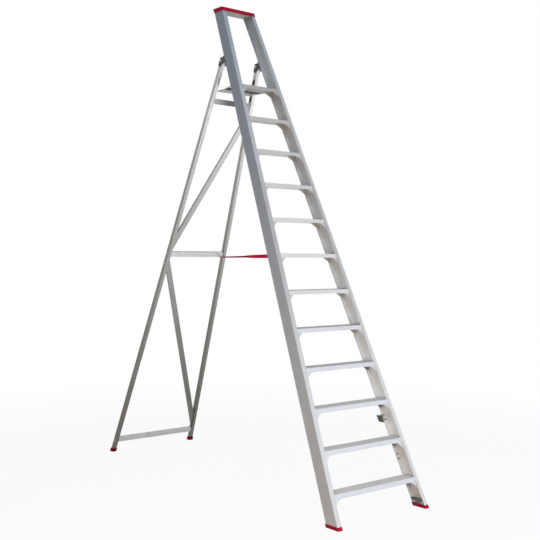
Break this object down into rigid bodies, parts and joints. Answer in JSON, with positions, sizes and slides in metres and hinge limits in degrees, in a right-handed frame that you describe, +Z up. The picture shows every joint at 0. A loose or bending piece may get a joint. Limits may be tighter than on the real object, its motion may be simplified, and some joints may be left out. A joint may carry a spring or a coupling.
{
  "type": "platform stepladder",
  "caption": "Tall aluminium platform stepladder: tapered channel stiles with gusseted treads, guard hoop, braced folding rear frame, hinged platform and red restraint strap.",
  "frame": {"origin": "middle of the overall box on the floor", "axes": "+X to the right of a person facing the treads, +Y from the treads towards the rear legs, +Z up"},
  "size_m": [0.7958, 2.708, 3.395],
  "materials": {
    "stile_metal": "mill finish extrusion",
    "tread_metal": "ribbed extrusion, mill finish",
    "bracket_metal": "folded sheet, satin",
    "tube_metal": "drawn tube, satin",
    "dark_metal": "dark coated pressed steel",
    "pin_steel": "zinc plated",
    "red_plastic": "moulded, fine grain",
    "red_rubber": "moulded, slightly shiny",
    "dark_plastic": "moulded, matt",
    "strap_webbing": "woven webbing"
  },
  "bodies": {
    "front_frame": {"left_foot_insert": "dark_plastic", "left_front_boot": "red_rubber", "left_pivot_bracket": "dark_metal", "left_pivot_pin": "pin_steel", "left_stile": "stile_metal", "leg_catch": "dark_plastic", "platform_hinge_lugs": "bracket_metal", "platform_hinge_rod": "pin_steel", "restraint_strap": "strap_webbing", "right_foot_insert": "dark_plastic", "right_front_boot": "red_rubber", "right_pivot_bracket": "dark_metal", "right_pivot_pin": "pin_steel", "right_stile": "stile_metal", "top_cap": "red_plastic", "top_crossbar": "bracket_metal", "tread_01": "tread_metal", "tread_01_brackets": "bracket_metal", "tread_02": "tread_metal", "tread_02_brackets": "bracket_metal", "tread_03": "tread_metal", "tread_03_brackets": "bracket_metal", "tread_04": "tread_metal", "tread_04_brackets": "bracket_metal", "tread_05": "tread_metal", "tread_05_brackets": "bracket_metal", "tread_06": "tread_metal", "tread_06_brackets": "bracket_metal", "tread_07": "tread_metal", "tread_07_brackets": "bracket_metal", "tread_08": "tread_metal", "tread_08_brackets": "bracket_metal", "tread_09": "tread_metal", "tread_09_brackets": "bracket_metal", "tread_10": "tread_metal", "tread_10_brackets": "bracket_metal", "tread_11": "tread_metal", "tread_11_brackets": "bracket_metal", "tread_12": "tread_metal", "tread_12_brackets": "bracket_metal"},
    "rear_frame": {"left_rear_leg": "tube_metal", "right_rear_leg": "tube_metal", "left_rear_boot": "red_rubber", "right_rear_boot": "red_rubber", "rear_bottom_crossbar": "tube_metal", "rear_middle_crossbar": "tube_metal", "rear_top_crossbar": "tube_metal", "upper_brace": "tube_metal", "lower_brace": "tube_metal", "left_platform_rest": "dark_plastic", "right_platform_rest": "dark_plastic", "platform_support_rod": "tube_metal"},
    "platform": {"platform_deck": "tread_metal", "platform_stiffener": "dark_plastic"}
  },
  "joints": [
    {"name": "rear_frame_fold", "type": "hinge", "parent": "front_frame", "child": "rear_frame", "pos_m": [0, 0.12672, 2.994], "axis": [-1, 0, 0], "range_deg": [0, 45.91], "deforming": ["restraint_strap"]},
    {"name": "platform_tilt", "type": "hinge", "parent": "front_frame", "child": "platform", "pos_m": [0, 0.00477, 2.7925], "axis": [1, 0, 0], "range_deg": [0, 66]}
  ],
  "couplings": [
    {"joint": "platform_tilt", "follows": "rear_frame_fold", "ratio": 1.4376}
  ]
}
